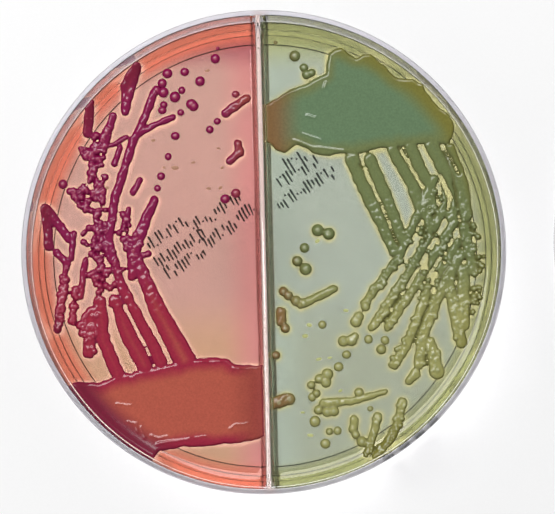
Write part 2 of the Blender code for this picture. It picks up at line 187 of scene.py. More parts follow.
def clear_styrene(name, centre, rim, height, crest_shade):
    """Crystal polystyrene, injection moulded: glass-clear with a high gloss, a faint flow
    waviness and the fine haze of handling. Centre, rim and height are those of the piece."""
    material, tree = new_material(name)
    spot, _, level, radius, beside = places_on(tree, centre)
    # Flow marks a few millimetres apart, and a rub haze at about a quarter of a millimetre.
    flow = add_node(tree, "ShaderNodeTexNoise", {"Scale": 180.0, "Detail": 2.0}, {"Vector": spot})
    haze = add_node(tree, "ShaderNodeTexNoise", {"Scale": 4000.0, "Detail": 4.0}, {"Vector": spot})
    rough = add_node(
        tree, "ShaderNodeMapRange", {"From Min": 0.35, "From Max": 0.8, "To Min": 0.02, "To Max": 0.09},
        {"Value": haze.outputs["Fac"]},
    )
    bump = add_node(
        tree, "ShaderNodeBump", {"Strength": 0.08, "Distance": 0.05 * MM},
        {"Height": flow.outputs["Fac"]},
    )
    # The wall is painted greyer: painted shade for the light that travels a long way down inside it.
    wall = add_node(
        tree, "ShaderNodeMapRange",
        {"From Min": rim - 1.1 * MM, "From Max": rim - 0.8 * MM}, {"Value": radius},
    )
    # Over the dividing wall the clear tint gives way to a pinkish grey painted shade, tinged with the
    # jelly's colour.
    crest = add_node(
        tree, "ShaderNodeMapRange", {"From Min": 1.0 * MM, "From Max": 0.7 * MM}, {"Value": beside}
    )
    # The very edge is left a little frosted where the two halves of the mould met.
    frost = add_node(
        tree, "ShaderNodeMapRange",
        {"From Min": height - 0.5 * MM, "From Max": height - 0.3 * MM, "To Max": RIM_FROST},
        {"Value": level},
    )
    at_rim = add_node(
        tree, "ShaderNodeMath", {"operation": "MULTIPLY_ADD"},
        {0: frost.outputs["Result"], 1: wall.outputs["Result"], 2: rough.outputs["Result"]},
    )
    middle = add_node(
        tree, "ShaderNodeMix",
        {"data_type": "RGBA", 6: linear(STYRENE_TINT), 7: linear(crest_shade)},
        {0: crest.outputs["Result"]},
    )
    colour = add_node(
        tree, "ShaderNodeMix", {"data_type": "RGBA", 7: linear(STYRENE_RIM_SHADE)},
        {0: wall.outputs["Result"], 6: middle.outputs[2]},
    )
    shader = add_node(
        tree, "ShaderNodeBsdfPrincipled",
        {"IOR": STYRENE_IOR, "Transmission Weight": 1.0},
        {
            "Base Color": colour.outputs[2], "Roughness": at_rim.outputs[0],
            "Normal": bump.outputs["Normal"],
        },
    )
    # It bends what is seen through it, but lamps shine straight through it.
    straight = add_node(tree, "ShaderNodeBsdfTransparent")
    lamp_ray = add_node(tree, "ShaderNodeLightPath").outputs["Is Shadow Ray"]
    both = add_node(
        tree, "ShaderNodeMixShader", None,
        {0: lamp_ray, 1: shader.outputs["BSDF"], 2: straight.outputs["BSDF"]},
    )
    add_node(tree, "ShaderNodeOutputMaterial", None, {"Surface": both.outputs[0]})
    return material


def moulded_dish():
    """Floor, wall and rim. The rings at 15 and 30 mm only keep the floor's faces short."""
    foot = inner_radius(FLOOR)
    return turned(
        [
            (0, FLOOR, False), (15 * MM, FLOOR, False), (30 * MM, FLOOR, False),
            (foot - CORNER, FLOOR, False),
            (inner_radius(FLOOR + CORNER), FLOOR + CORNER, False),
            (DISH_RADIUS - WALL, DISH_HEIGHT, True),
            (DISH_RADIUS, DISH_HEIGHT, True),
            (foot + WALL, CORNER, True), (foot + WALL - CORNER, 0, True),
            (GROOVE_OUT, 0, True), (GROOVE_OUT, GROOVE_DEEP, True),
            (GROOVE_IN, GROOVE_DEEP, True), (GROOVE_IN, 0, True),
            (30 * MM, 0, False), (15 * MM, 0, False), (0, 0, False),
        ],
        EDGE_ROUND,
    )


def dividing_wall():
    """A tapered wall with a rounded crest, its ends and foot sunk in the moulding."""
    foot = FLOOR / 2
    reach = inner_radius(FLOOR) + WALL / 2
    bm = bmesh.new()
    bmesh.ops.create_cube(bm, size=2.0)
    for vert in bm.verts:
        top = vert.co.z > 0
        height = DIVIDER_TOP if top else foot
        vert.co = (vert.co.x * divider_half(height), vert.co.y * reach, height)
    crest = [
        edge for edge in bm.edges
        if abs(edge.verts[0].co.y - edge.verts[1].co.y) > reach and edge.verts[0].co.z > DISH_HEIGHT / 2
    ]
    bmesh.ops.bevel(
        bm, geom=crest, offset=0.3 * MM, segments=4, profile=0.5, affect="EDGES", material=-1
    )
    return bm


styrene = clear_styrene(
    "crystal_polystyrene_dish_moulded", 0.0, DISH_RADIUS, DISH_HEIGHT, STYRENE_CREST_SHADE
)
dish = fused(
    as_object(moulded_dish(), "clear_dish", styrene),
    [as_object(dividing_wall(), "dividing_wall", styrene)],
)
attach(dish, "dish")
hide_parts("dish_base")


# ---------------------------------------------------------------------------------------
# Batch codes: the maker's ink-jet printer lays rows of fine ink bars under the floor and
# on the outside of the wall, and they are read through the dish. These are plain bar
# marks that stand for no letters.

INK_THICKNESS = 0.02 * MM
BAR_WIDTH = 0.42 * MM
BAR_PITCH = 0.72 * MM
BAR_SHARES = (0.01, 0.3, 0.6, 0.8)
MARK_HEIGHT = 2.6 * MM
MARK_PITCH = 2.2 * MM
CODE_SLOPE = math.radians(30)
# Each row: where it starts (x, y in mm) and how many marks it holds.
FLOOR_CODES = (
    (-21.0, 3.0, 4), (-19.5, -0.4, 5), (-17.6, -2.6, 4), (-11.4, 2.2, 4), (-12.6, 6.0, 5),
    (-3.9, 7.6, 2), (3.0, 9.4, 6), (3.6, 13.6, 4), (5.0, 17.0, 2),
)
WALL_CODE_FIRST, WALL_CODE_LAST = math.radians(-60), math.radians(-42)
WALL_MARK_PITCH = 3.4 * MM
# Its rows, as shares of the dish's height.
WALL_CODE_ROWS = (0.35, 0.62, 0.895)
# Clear plastic mirrors the ink inside the wall, so that from above it looks this deep.
WALL_INK_DEEP = 0.5 * MM


def code_ink():
    """Dried ink-jet ink: near black, matt, uneven where the drops dried thin."""
    material, tree = new_material("dried_ink_jet_ink")
    spot = add_node(tree, "ShaderNodeTexCoord").outputs["Object"]
    # Drops about a fifth of a millimetre apart.
    drops = add_node(tree, "ShaderNodeTexNoise", {"Scale": 5000.0, "Detail": 2.0}, {"Vector": spot})
    colour = add_node(
        tree, "ShaderNodeMix",
        {"data_type": "RGBA", 6: linear("15181A"), 7: linear("343A3C")},
        {0: drops.outputs["Fac"]},
    )
    shader = add_node(
        tree, "ShaderNodeBsdfPrincipled", {"Roughness": 0.7}, {"Base Color": colour.outputs[2]}
    )
    add_node(tree, "ShaderNodeOutputMaterial", None, {"Surface": shader.outputs["BSDF"]})
    return material


def ink_bar(bm, length, place, thickness):
    """One bar with round ends, lying along X before it is placed."""
    made = bmesh.ops.create_circle(bm, cap_ends=True, segments=8, radius=BAR_WIDTH / 2)["verts"]
    for vert in made:
        vert.co.x += math.copysign(length / 2, vert.co.x)
    face = made[0].link_faces[0]
    lifted = bmesh.ops.extrude_face_region(bm, geom=[face], use_keep_orig=True)["geom"]
    top = [item for item in lifted if isinstance(item, bmesh.types.BMVert)]
    bmesh.ops.translate(bm, verts=top, vec=(0, 0, thickness))
    bmesh.ops.transform(bm, matrix=place, verts=made + top)


def code_mark(bm, place, draw, thickness):
    """One mark of the code: three bars side by side, of mixed length and height."""
    for column in (-BAR_PITCH, 0, BAR_PITCH):
        length = draw.choice(BAR_SHARES) * MARK_HEIGHT
        shift = draw.uniform(-0.5, 0.5) * (MARK_HEIGHT - length)
        upright = Matrix.Rotation(math.pi / 2, 4, "Z")
        ink_bar(bm, length, place @ Matrix.Translation((column, shift, 0)) @ upright, thickness)


def floor_codes():
    bm = bmesh.new()
    draw = random.Random(4)
    for x, y, count in FLOOR_CODES:
        for index in range(count):
            along = index * MARK_PITCH
            spot = Vector((x * MM, y * MM, -1.5 * INK_THICKNESS))
            spot += along * Vector((math.cos(CODE_SLOPE), math.sin(CODE_SLOPE), 0))
            place = Matrix.Translation(spot)
            code_mark(bm, place @ Matrix.Rotation(CODE_SLOPE, 4, "Z"), draw, INK_THICKNESS)
    bmesh.ops.recalc_face_normals(bm, faces=bm.faces)
    return bm


def wall_code():
    bm = bmesh.new()
    draw = random.Random(9)
    for share in WALL_CODE_ROWS:
        height = DISH_HEIGHT * share
        radius = inner_radius(height) + WALL - WALL_INK_DEEP - 0.05 * MM
        count = round((WALL_CODE_LAST - WALL_CODE_FIRST) * radius / WALL_MARK_PITCH)
        for index in range(count):
            angle = WALL_CODE_FIRST + index * WALL_MARK_PITCH / radius
            facing = Matrix.Rotation(angle + math.pi / 2, 4, "Z")
            upright = facing @ Matrix.Rotation(math.pi / 2, 4, "X")
            spot = Vector((radius * math.cos(angle), radius * math.sin(angle), height))
            code_mark(bm, Matrix.Translation(spot) @ upright, draw, WALL_INK_DEEP)
    bmesh.ops.recalc_face_normals(bm, faces=bm.faces)
    return bm


ink = code_ink()
for made, name in ((floor_codes(), "floor_code_print"), (wall_code(), "wall_code_print")):
    print_marks = as_object(made, name, ink)
    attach(print_marks, "dish")


# ---------------------------------------------------------------------------------------
# Agar beds: nutrient jelly poured hot into each compartment and left to set. It climbs the
# wall and the divider in a meniscus. One bed is dyed red, the other green.

BED_FOOT = FLOOR + 0.04 * MM
# The growth's own solids stand this far above the jelly.
TOUCH_GAP = 0.3 * MM
BED_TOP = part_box("red_growth")[0].z - TOUCH_GAP
BED_GAP = 0.04 * MM
MENISCUS_WIDE, MENISCUS_RISE = 5.5 * MM, 1.2 * MM
DIVIDER_CREEP_WIDE, DIVIDER_CREEP_RISE = 1.8 * MM, 0.6 * MM
BED_RADIUS = inner_radius(BED_TOP + MENISCUS_RISE) - BED_GAP
BED_SIDE = divider_half(BED_TOP) + BED_GAP
BED_ROWS, BED_COLUMNS = 240, 110


def bed_height(x, y):
    """Height of the jelly's surface, drawn up the wall and the divider."""
    at_wall = np.clip(1 - (BED_RADIUS - np.hypot(x, y)) / MENISCUS_WIDE, 0, 1)
    at_divider = np.clip(1 - (np.abs(x) - BED_SIDE) / DIVIDER_CREEP_WIDE, 0, 1)
    return BED_TOP + MENISCUS_RISE * at_wall ** 3 + DIVIDER_CREEP_RISE * at_divider ** 3


def agar_bed(side):
    """A grid drawn out to a half disc, raised to its surface and closed underneath."""
    bm = bmesh.new()
    bmesh.ops.create_grid(bm, x_segments=BED_COLUMNS, y_segments=BED_ROWS, size=1.0)
    far = math.sqrt(BED_RADIUS ** 2 - (BED_SIDE + 0.5 * MM) ** 2)
    for vert in bm.verts:
        across, along = (vert.co.x + 1) / 2, vert.co.y
        y = far * math.sin(along * math.pi / 2)
        reach = math.sqrt(BED_RADIUS ** 2 - y ** 2) - BED_SIDE
        spread = 0.5 - 0.5 * math.cos(across * math.pi)
        vert.co.x = side * (BED_SIDE + reach * (0.45 * across + 0.55 * spread))
        vert.co.y = y
    surface = bm.verts[:]
    made = bmesh.ops.extrude_face_region(bm, geom=bm.faces[:], use_keep_orig=True)["geom"]
    under = [item for item in made if isinstance(item, bmesh.types.BMVert)]
    for vert in surface:
        vert.co.z = float(bed_height(vert.co.x, vert.co.y))
    shrink = (inner_radius(BED_FOOT + CORNER) - BED_GAP - CORNER) / BED_RADIUS
    for vert in under:
        wall_share = Vector(vert.co.xy).length / BED_RADIUS
        vert.co.x = side * max(abs(vert.co.x) * (1 + (shrink - 1) * wall_share), BED_SIDE)
        vert.co.y *= 1 + (shrink - 1) * wall_share
        vert.co.z = BED_FOOT
    bmesh.ops.recalc_face_normals(bm, faces=bm.faces)
    return bm


def graded(tree, colours, ground, shares):
    """The ground colour with the other colours laid over it in turn. Each share says which
    colour, what it is read from, where it starts and is full, and how much of it shows."""
    first, link = {6: linear(colours[ground])}, {}
    for part, source, start, end, most in shares:
        share = add_node(
            tree, "ShaderNodeMapRange",
            {"interpolation_type": "SMOOTHSTEP", "From Min": start, "From Max": end, "To Max": most},
            {"Value": source},
        )
        mixed = add_node(
            tree, "ShaderNodeMix", {"data_type": "RGBA", 7: linear(colours[part]), **first},
            {0: share.outputs["Result"], **link},
        )
        first, link = {}, {6: mixed.outputs[2]}
    return mixed.outputs[2]


def jelly(name, colours):
    """Set agar, poured: wet and glossy, clear, its dye read twice because light passes down
    and back. Its colour shifts towards each end of the dividing wall, beside that wall and
    round the growth. Up the meniscus it is painted deeper and darker, painted shade for the
    longer way light takes through the jelly there, and a line of painted shade runs along
    the foot of the dividing wall."""
    material, tree = new_material(name)
    spot, along, _, radius, beside = places_on(tree)
    halo = add_node(tree, "ShaderNodeAttribute", {"attribute_name": "halo"})
    colour = graded(tree, colours, "middle", (
        ("near", along, -6 * MM, -18 * MM, 1.0),
        ("beside", beside, 9 * MM, 1.5 * MM, 1.0),
        ("far", along, 33 * MM, 41 * MM, 1.0),
        # Painted shade: the jelly deeper and darker up the meniscus by the wall.
        ("edge", radius, 37.8 * MM, 41.2 * MM, 1.0),
        ("halo", halo.outputs["Fac"], 0, 1, 1.0),
        # Painted shade: a dark line in the jelly along the foot of the dividing wall.
        ("seam_shade", beside, 1.5 * MM, 1.1 * MM, 1.0),
    ))
    # The set surface is faintly uneven, a few millimetres from swell to swell.
    swell = add_node(tree, "ShaderNodeTexNoise", {"Scale": 150.0, "Detail": 2.0}, {"Vector": spot})
    bump = add_node(
        tree, "ShaderNodeBump", {"Strength": 0.15, "Distance": 0.05 * MM},
        {"Height": swell.outputs["Fac"]},
    )
    shader = add_node(
        tree, "ShaderNodeBsdfPrincipled",
        {"IOR": AGAR_IOR, "Specular IOR Level": 1.0, "Transmission Weight": 1.0, "Roughness": 0.06},
        {"Base Color": colour, "Normal": bump.outputs["Normal"]},
    )
    add_node(tree, "ShaderNodeOutputMaterial", None, {"Surface": shader.outputs["BSDF"]})
    return material


# In both beds the edge colour and the seam_shade colour are painted shade.
RED_JELLY = {
    "middle": "AA857A", "near": "AC886E", "beside": "B27873", "far": "863F49", "edge": "B56550",
    "halo": "CB9C89", "seam_shade": "8C4A46",
}
GREEN_JELLY = {
    "middle": "91988B", "near": "8E9381", "beside": "939C8E", "far": "8F9262", "edge": "85875A",
    "halo": "A9A576", "seam_shade": "49503A",
}
beds = {}
for name, side, colours in (("red_agar", -1, RED_JELLY), ("green_agar", 1, GREEN_JELLY)):
    bed = as_object(agar_bed(side), name + "_bed", jelly("set_" + name, colours), crease=50)
    bed.visible_shadow = False
    beds[name] = bed
    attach(bed, "dish")
    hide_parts(name)


# ---------------------------------------------------------------------------------------
# Growth: a heavy lawn where the sample was spread first, streaks drawn out of it with a
# loop and crossed by thinner ones, and beads of colony along them. It is a wet, glossy
# film under a millimetre thick that sits on the jelly.

GRID = 0.2 * MM
FILM_SINK = 0.06 * MM
EDGE_ROLL = 0.85 * MM
FILM_HEIGHT = 0.5 * MM
BEAD_HEIGHT = 0.68 * MM
MELT = 0.25 * MM
WAVER, SWELL = 0.2 * MM, 0.6 * MM
CLUMP_PITCH, CLUMP_HEIGHT = 1.05 * MM, 0.17 * MM
FOLD_HEIGHT = 0.16 * MM
HALO_WIDE = 0.4 * MM
# How fine the wander of the edges is, in ripples for each metre.
WAVER_RATE, SWELL_RATE = 800, 280
# The wander of the edges has to come out the same each time.
noise.seed_set(3)


def melted(first, second, soft=MELT):
    """The larger of two distance fields, with the join between them rounded."""
    near = np.clip(soft - np.abs(first - second), 0, soft) / soft
    return np.maximum(first, second) + near * near * soft / 4


def stroke_field(x, y, points):
    """How far inside a stroke each place is. Points are (x, y, half width) in mm."""
    field = np.full_like(x, -1.0)
    for (x1, y1, w1), (x2, y2, w2) in zip(points, points[1:]):
        dx, dy = (x2 - x1) * MM, (y2 - y1) * MM
        share = ((x - x1 * MM) * dx + (y - y1 * MM) * dy) / (dx * dx + dy * dy)
        share = np.clip(share, 0, 1)
        width = (w1 + (w2 - w1) * share) * MM
        field = np.maximum(field, width - np.hypot(x - x1 * MM - share * dx, y - y1 * MM - share * dy))
    return field


def lawn_field(x, y, outline):
    """How far inside a closed outline each place is, negative outside it."""
    away = np.full_like(x, 1.0)
    inside = np.zeros(x.shape, bool)
    for (x1, y1), (x2, y2) in zip(outline, outline[1:] + outline[:1]):
        dx, dy = (x2 - x1) * MM, (y2 - y1) * MM
        share = np.clip(((x - x1 * MM) * dx + (y - y1 * MM) * dy) / (dx * dx + dy * dy), 0, 1)
        away = np.minimum(away, np.hypot(x - x1 * MM - share * dx, y - y1 * MM - share * dy))
        if dy:
            crosses = (y1 * MM > y) != (y2 * MM > y)
            inside ^= crosses & (x < x1 * MM + (y - y1 * MM) * dx / dy)
    return np.where(inside, away, -away)


def beads_along(strokes, draw, spacing, smallest, largest):
    """Colony beads scattered along strokes, as (x, y, radius) in mm."""
    beads = []
    for points in strokes:
        for (x1, y1, w1), (x2, y2, w2) in zip(points, points[1:]):
            length = math.hypot(x2 - x1, y2 - y1)
            for _ in range(round(length / spacing)):
                share = draw.random()
                width = w1 + (w2 - w1) * share
                aside = draw.uniform(-0.9, 0.9) * width
                bead_x = x1 + (x2 - x1) * share - aside * (y2 - y1) / length
                bead_y = y1 + (y2 - y1) * share + aside * (x2 - x1) / length
                beads.append((bead_x, bead_y, draw.uniform(smallest, largest)))
    return beads


def clump_domes(x, y, wanted):
    """Cell clumps a clump's pitch apart: 1 on the crown of each, 0 in the creases."""
    domes = np.zeros_like(x)
    for index in np.nonzero(wanted)[0]:
        place = (x[index] / CLUMP_PITCH, y[index] / CLUMP_PITCH, 0.5)
        away = noise.voronoi(place)[0][0]
        domes[index] = max(0.0, 1 - (away / 0.7) ** 2)
    return domes


def wander(x, y, rate, layer):
    """A smooth random push for each place, that keeps the edges from being straight."""
    return np.array([noise.noise_vector((a * rate, b * rate, layer)) for a, b in zip(x, y)])


def growth_sheet(low, high, shapes):
    """The growth of one bed as a closed film. Shapes holds its lawns, strokes, gaps and
    beads; the film is cut from a fine grid along the line where they end."""
    columns = round((high[0] - low[0]) / GRID)
    rows = round((high[1] - low[1]) / GRID)
    bm = bmesh.new()
    bmesh.ops.create_grid(bm, x_segments=columns, y_segments=rows, size=1.0)
    co = np.array([vert.co for vert in bm.verts])
    x = low[0] + (co[:, 0] + 1) / 2 * (high[0] - low[0])
    y = low[1] + (co[:, 1] + 1) / 2 * (high[1] - low[1])
    shape = (rows + 1, columns + 1)
    waver = wander(x, y, WAVER_RATE, 0.3)
    swell = wander(x, y, SWELL_RATE, 7.1)
    wx, wy = x + waver[:, 0] * WAVER, y + waver[:, 1] * WAVER

    lawn = np.full_like(x, -1.0)
    for outline in shapes["lawns"]:
        lawn = np.maximum(lawn, lawn_field(wx + swell[:, 0] * SWELL, wy + swell[:, 1] * SWELL, outline))
    field = lawn
    for points in shapes["strokes"]:
        field = melted(field, stroke_field(wx, wy, points))
    for points in shapes["gaps"]:
        field = np.minimum(field, -stroke_field(wx, wy, points))
    lift = np.zeros_like(x)
    for bead_x, bead_y, radius in shapes["beads"]:
        reach = radius * MM
        away = np.hypot(x - bead_x * MM, y - bead_y * MM)
        near = away < 2 * reach
        field[near] = melted(field[near], reach - away[near], 0.1 * MM)
        dome = np.sqrt(np.clip(1 - (away[near] / reach) ** 2, 0, 1))
        lift[near] = np.maximum(lift[near], dome)
    field = np.minimum(field, BED_RADIUS - 0.1 * MM - np.hypot(x, y))
    field = np.minimum(field, np.abs(x) - BED_SIDE - 0.1 * MM)

    slope_y, slope_x = np.gradient(field.reshape(shape), GRID)
    steep = np.maximum(np.hypot(slope_x, slope_y).ravel(), 0.3)
    pull = np.clip(-field / steep, 0, 1.4 * GRID)
    x = x + pull * slope_x.ravel() / steep
    y = y + pull * slope_y.ravel() / steep
    inner = np.clip(field / EDGE_ROLL, 0, 1)
    roll = np.sqrt(1 - (1 - inner) ** 2)
    height = np.maximum(FILM_HEIGHT * roll, BEAD_HEIGHT * lift * np.minimum(roll * 2, 1))
    turn_from, turn_to = shapes["smooth_from"]
    smooth = np.clip((y / MM - turn_from) / (turn_to - turn_from), 0, 1) * 0.85
    smooth = np.maximum(smooth, np.clip(lawn / (0.8 * MM), 0, 1))
    clumps = (1 - smooth) * (field > 0) * clump_domes(x, y, field > 0)
    height += CLUMP_HEIGHT * clumps * roll
    lift = np.maximum(lift, clumps)
    for points in shapes["folds"]:
        fold = np.clip(stroke_field(wx, wy, points) / (0.25 * MM), 0, 1)
        height += FOLD_HEIGHT * fold * (field > 0)
        lift = np.maximum(lift, fold * 0.97)
    level = bed_height(x, y)
    for vert, place in zip(bm.verts, zip(x, y, level + height)):
        vert.co = place

    depth_layer = bm.verts.layers.float.new("depth")
    # This share, highest on each crown, carries the painted highlight.
    glint_share_layer = bm.verts.layers.float.new("bead")
    sunk_layer = bm.verts.layers.float.new("sunk")
    for vert, inside, bead, sunk in zip(bm.verts, field, lift ** 3, level - FILM_SINK):
        vert[depth_layer] = max(inside, 0) / MM
        vert[glint_share_layer] = bead
        vert[sunk_layer] = sunk
    bm.verts.index_update()
    outside = [face for face in bm.faces if all(field[vert.index] <= 0 for vert in face.verts)]
    bmesh.ops.delete(bm, geom=outside, context="FACES")
    # Patches that touch at one corner only are taken apart, or the film would pinch there.
    while True:
        pinched = [vert for vert in bm.verts if sum(edge.is_boundary for edge in vert.link_edges) > 2]
        if not pinched:
            break
        around = list({face for vert in pinched for face in vert.link_faces})
        bmesh.ops.delete(bm, geom=around, context="FACES")
    made = bmesh.ops.extrude_face_region(bm, geom=bm.faces[:], use_keep_orig=True)["geom"]
    for item in made:
        if isinstance(item, bmesh.types.BMVert):
            item.co.z = item[sunk_layer]
    bm.verts.layers.float.remove(sunk_layer)
    # The extrusion faces the way of a film drawn upwards, and this one is drawn down.
    bmesh.ops.reverse_faces(bm, faces=bm.faces[:])
    bm.normal_update()
    return bm


def stained(bed, shapes, wide):
    """Marks on the bed how near the growth is, for the halo that it leaves in the jelly."""
    mesh = bed.data
    co = np.zeros(len(mesh.vertices) * 3)
    mesh.vertices.foreach_get("co", co)
    x, y = co[0::3], co[1::3]
    field = np.full_like(x, -1.0)
    for outline in shapes["lawns"]:
        field = np.maximum(field, lawn_field(x, y, outline))
    for points in shapes["strokes"]:
        field = np.maximum(field, stroke_field(x, y, points))
    for bead_x, bead_y, radius in shapes["beads"]:
        field = np.maximum(field, radius * MM - np.hypot(x - bead_x * MM, y - bead_y * MM))
    halo = mesh.attributes.new("halo", "FLOAT", "POINT")
    halo.data.foreach_set("value", np.exp(np.clip(field, -1, 0) / wide).astype(np.float32))


def film(name, colours, fan_from, fan_to):
    """Wet bacterial growth: opaque and glossy, with painted shade darkening it where it thins
    to its edge and a painted highlight paler on the crown of each clump. It turns from the
    streaks' colour to the fan's along Y, and changes again deep in the lawn, by the wall and
    by the divider."""
    material, tree = new_material(name)
    spot, along, _, radius, beside = places_on(tree)
    depth = add_node(tree, "ShaderNodeAttribute", {"attribute_name": "depth"}).outputs["Fac"]
    crown = add_node(tree, "ShaderNodeAttribute", {"attribute_name": "bead"}).outputs["Fac"]
    # The depths are in millimetres, and a crown runs from 0 to 1; the crown colour is a painted
    # highlight.
    colour = graded(tree, colours, "streak", (
        ("fan", along, fan_from * MM, fan_to * MM, 1.0),
        ("lawn", depth, 0.7, 3.0, 1.0),
        ("wall", radius, 37.5 * MM, 41.5 * MM, 1.0),
        ("beside", beside, 8 * MM, 2 * MM, 0.9),
        # Painted shade: darker where the film thins to its rim.
        ("edge", depth, 0.4, 0.0, 0.7),
        ("crown", crown, 0.66, 1.0, 0.5),
    ))
    # Cells pile up unevenly: a mottle about a third of a millimetre across.
    pile = add_node(tree, "ShaderNodeTexNoise", {"Scale": 3000.0, "Detail": 3.0}, {"Vector": spot})
    mottle = add_node(
        tree, "ShaderNodeMapRange",
        {"From Min": 0.3, "From Max": 0.7, "To Min": 0.9, "To Max": 1.1},
        {"Value": pile.outputs["Fac"]},
    )
    toned = add_node(
        tree, "ShaderNodeHueSaturation", None,
        {"Value": mottle.outputs["Result"], "Color": colour},
    )
    bump = add_node(
        tree, "ShaderNodeBump", {"Strength": 0.2, "Distance": 0.04 * MM},
        {"Height": pile.outputs["Fac"]},
    )
    shader = add_node(
        tree, "ShaderNodeBsdfPrincipled",
        {"IOR": GROWTH_IOR, "Specular IOR Level": 0.65, "Roughness": 0.16},
        {"Base Color": toned.outputs["Color"], "Normal": bump.outputs["Normal"]},
    )
    add_node(tree, "ShaderNodeOutputMaterial", None, {"Surface": shader.outputs["BSDF"]})
    return material


def lay_growth(colour, low, high, shapes, material):
    """Lays the growth of one bed as one film, and marks its halo in the jelly."""
    growth = as_object(
        growth_sheet(low, high, shapes), colour + "_growth_film", material, crease=60
    )
    stained(beds[colour + "_agar"], shapes, HALO_WIDE)
    growth.visible_shadow = False
    kinds = (colour + "_growth", colour + "_streak")
    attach(growth, "dish")
    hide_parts(*[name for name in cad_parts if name.startswith(kinds)])


RED_LAWN = (
    (-44, -22.7), (-31, -22.9), (-28.1, -21.9), (-25.5, -21.2), (-12.5, -18.9), (-7.8, -19.0),
    (-6, -20.3), (-0.5, -20.3), (-0.5, -33.4), (-1.8, -34), (-5.2, -34.9), (-15.2, -35),
    (-20.3, -35.6), (-23, -40),
)
RED_FAN = (
    ((-15.2, -19, 2.1), (-19.8, -10, 1.7), (-23.4, -0.5, 1.0)),
    ((-19.5, -19.5, 1.2), (-21.5, -15, 1.2), (-24.2, -10, 1.2), (-26.5, -5, 1.0)),
    ((-22.5, -20, 1.5), (-25.5, -14, 1.5), (-27.7, -8, 1.3)),
    ((-27.2, -22, 1.2), (-30, -15, 1.3), (-30.5, -8, 1.2)),
)
RED_GAPS = (
    ((-25, -5.5, 0.2), (-20, -15, 0.25), (-17.8, -19.3, 0.1)),
    ((-25.9, -9, 0.3), (-23, -15, 0.25), (-21.3, -18.5, 0.1)),
    ((-28.4, -9.5, 0.3), (-28.2, -13.5, 0.8), (-25.2, -20.6, 0.8)),
)
RED_STROKES = (
    ((-24.4, -3.5, 0.9), (-24, 1.5, 1.3), (-20.1, 10.4, 0.85)),
    ((-26.5, -5, 0.9), (-28.6, 3, 0.85), (-27.3, 11, 0.85), (-23.6, 21.7, 0.85), (-23, 22.6, 0.7)),
    ((-23, 22.6, 0.7), (-21.4, 26, 0.85), (-19.6, 30.3, 0.8)),
    ((-23, 22.6, 0.65), (-19.6, 24.4, 0.6), (-16.4, 25.6, 0.65)),
    ((-22.7, 35.1, 0.9), (-24.3, 31.7, 1.5), (-25.1, 27, 0.8)),
    ((-31.5, 28.6, 0.8), (-32.1, 23.1, 0.95)),
    ((-27.3, 26.1, 0.75), (-29.3, 20.4, 0.8)),
    ((-27.8, 20.7, 0.5), (-24.9, 22.2, 0.5)),
    ((-27.3, 17.3, 0.6), (-26.1, 20.3, 0.6)),
    ((-22.6, 14.2, 0.65), (-23.9, 12, 0.65)),
    ((-24.8, 8.8, 0.55), (-25.9, 5.7, 0.55)),
    ((-6.5, 26.2, 0.85), (-2.6, 28.8, 0.75)),
    ((-40.1, 9.4, 0.9), (-39.6, 2.4, 0.95)),
    ((-39.9, 9.2, 0.95), (-36, 3.9, 0.9)),
    ((-38.3, 1.3, 0.7), (-36.2, -1, 0.7)),
    ((-36.6, -1.3, 0.6), (-38.3, -13, 0.75)),
    ((-35, 4.6, 0.6), (-35.6, 0, 0.6)),
    ((-33, -0.4, 0.65), (-34, -7, 0.65)),
    ((-29.8, 3.8, 0.6), (-28.2, -0.5, 0.7)),
    ((-32, -10, 1.2), (-32.7, -17.2, 1.2)),
    ((-4.4, 20.5, 0.7), (-4.2, 18.9, 0.9), (-5.9, 17.3, 0.75)),
)
RED_BEADED = (
    ((-30, 21, 1.4), (-30.5, 15, 1.7), (-33.5, 11, 1.6)),
    ((-29.5, 14, 1.2), (-30.5, 10.5, 1.4)),
    ((-36.6, -1.3, 0.6), (-38.3, -13, 0.6)),
    ((-34.8, -5.5, 0.4), (-35.7, -12, 0.4)),
    ((-33.4, -10.5, 0.6), (-34.1, -13.8, 0.6)),
    ((-32, -10, 1.3), (-32.7, -17.2, 1.3)),
    ((-31, -2, 2.2), (-29, -6, 2.2)),
    ((-30, 4, 1.6), (-30, 9, 1.2)),
    ((-33, 5, 1.8), (-27, -3, 2.4)),
    ((-27, 8, 1.3), (-22.5, -1, 2.0)),
    ((-28, 24, 0.8), (-31, 21, 1.4)),
    ((-33.5, 20.5, 0.5), (-31, 18, 1.0)),
    ((-35.5, 12.8, 0.6), (-32, 8.5, 0.9)),
)
RED_FOLDS = (
    ((-28, -26.8, 0.22), (-25, -27.2, 0.22)),
    ((-25.8, -30.2, 0.2), (-24.3, -30.6, 0.3), (-23.9, -32.2, 0.25)),
    ((-23.4, -31, 0.25), (-22.6, -33.2, 0.3)),
    ((-21.5, -32.8, 0.25), (-20, -33.4, 0.3), (-18.4, -33, 0.2)),
    ((-20.4, -34.3, 0.3), (-17.5, -34, 0.35), (-14.6, -33.6, 0.25)),
    ((-13.6, -33.4, 0.2), (-11.4, -33.2, 0.2)),
    ((-7.2, -32, 0.3), (-6.2, -31.2, 0.25), (-3.8, -31, 0.2)),
    ((-12.3, -19.6, 0.22), (-8, -19.6, 0.22)),
    ((-6.2, -20.9, 0.22), (-1.2, -20.9, 0.22)),
)
red_draw = random.Random(11)
red_shapes = {
    "lawns": [RED_LAWN],
    "strokes": RED_FAN + RED_STROKES,
    "gaps": RED_GAPS,
    "beads": beads_along(RED_BEADED, red_draw, 0.2, 0.4, 0.75),
    "folds": RED_FOLDS,
    "smooth_from": (-6, -12),
}
